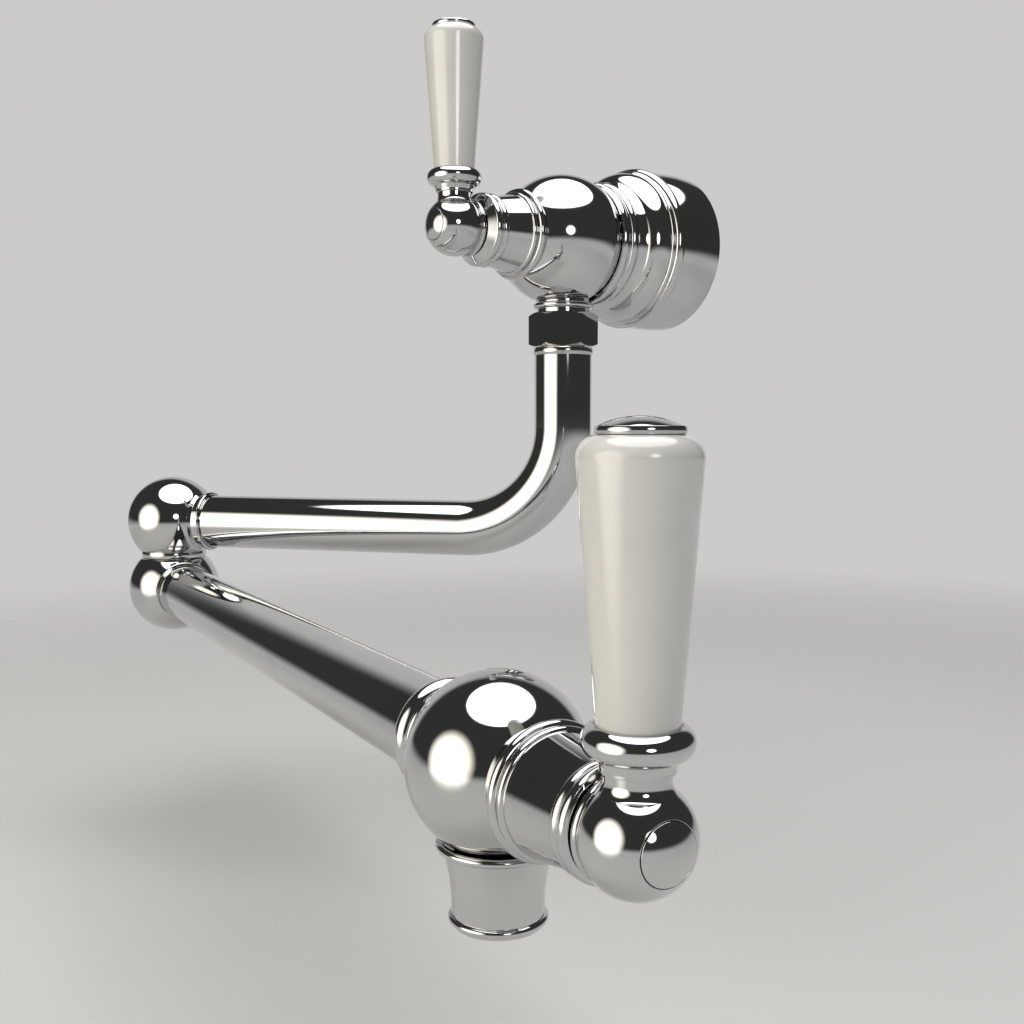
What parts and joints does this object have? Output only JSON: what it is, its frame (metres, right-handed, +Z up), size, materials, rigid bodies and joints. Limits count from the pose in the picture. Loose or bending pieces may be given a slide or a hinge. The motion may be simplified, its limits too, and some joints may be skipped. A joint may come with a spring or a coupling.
{
  "type": "wall mounted pot filler",
  "caption": "Wall mounted pot filler: flanged inlet valve, jointed swinging arm with a ball elbow, and an outlet valve with a flared spout; both valves have tapered ceramic levers.",
  "frame": {"origin": "centre of the water inlet, in the plane of the wall", "axes": "+Z up; +Y into the wall, so the tap stands out along -Y; X along the wall"},
  "size_m": [0.3707, 0.2227, 0.2442],
  "materials": {
    "chrome": "mirror polished",
    "white_glaze": "gloss glaze",
    "brass": "machined",
    "steel": "plain",
    "rubber": "matte",
    "washer_fibre": "matte",
    "outlet_plastic": "satin",
    "disc_ceramic": "lapped"
  },
  "bodies": {
    "wall_valve": {"wall_flange": "chrome", "wall_gasket": "rubber", "inlet_shank": "brass", "inlet_washer": "rubber", "inlet_strainer": "steel", "inlet_seal": "washer_fibre", "wall_valve_body": "chrome", "wall_cartridge_seal": "rubber", "wall_fixed_disc": "disc_ceramic", "wall_cartridge_body": "brass", "wall_bonnet": "chrome", "union_nut": "chrome", "swivel_washer": "washer_fibre"},
    "wall_lever": {"wall_moving_disc": "disc_ceramic", "wall_spindle": "brass", "wall_spindle_orings": "rubber", "wall_spindle_clip": "steel", "wall_lever_hub": "chrome", "wall_hub_screw": "steel", "wall_hub_plug": "chrome", "wall_lever_collar": "chrome", "wall_lever_rod": "steel", "wall_lever_handle": "white_glaze", "wall_lever_cap": "chrome"},
    "inner_arm": {"swivel_tail": "brass", "swivel_orings": "rubber", "inner_arm_collar": "chrome", "inner_arm_tube": "chrome", "inner_arm_end_ring": "chrome", "elbow_upper_body": "chrome", "elbow_spindle": "brass", "elbow_orings": "rubber", "elbow_thrust_washer": "washer_fibre", "elbow_collar": "chrome"},
    "outer_arm": {"elbow_lower_body": "chrome", "elbow_plug": "chrome", "outer_arm_end_ring": "chrome", "outer_arm_tube": "chrome", "outer_arm_collar": "chrome", "front_valve_body": "chrome", "front_cartridge_seal": "rubber", "front_fixed_disc": "disc_ceramic", "front_cartridge_body": "brass", "front_bonnet": "chrome", "spout": "chrome", "spout_washer": "washer_fibre", "aerator_housing": "outlet_plastic", "aerator_insert": "outlet_plastic"},
    "front_lever": {"front_moving_disc": "disc_ceramic", "front_spindle": "brass", "front_spindle_orings": "rubber", "front_spindle_clip": "steel", "front_lever_hub": "chrome", "front_hub_screw": "steel", "front_hub_plug": "chrome", "front_lever_collar": "chrome", "front_lever_rod": "steel", "front_lever_handle": "white_glaze", "front_lever_cap": "chrome"}
  },
  "joints": [
    {"name": "wall_lever_turn", "type": "hinge", "parent": "wall_valve", "child": "wall_lever", "pos_m": [0, -0.0557, 0], "axis": [0, -1, 0], "range_deg": [0, 90]},
    {"name": "shoulder_swing", "type": "hinge", "parent": "wall_valve", "child": "inner_arm", "pos_m": [0, -0.054, 0], "axis": [0, 0, 1], "range_deg": [-34.7, 145.3]},
    {"name": "elbow_swing", "type": "hinge", "parent": "inner_arm", "child": "outer_arm", "pos_m": [-0.14231, -0.15254, -0.1396], "axis": [0, 0, 1], "range_deg": [-315.45, 44.55]},
    {"name": "front_lever_turn", "type": "hinge", "parent": "outer_arm", "child": "front_lever", "pos_m": [0.15011, -0.20332, -0.1396], "axis": [0.9853, -0.1711, 0], "range_deg": [0, 90]}
  ]
}
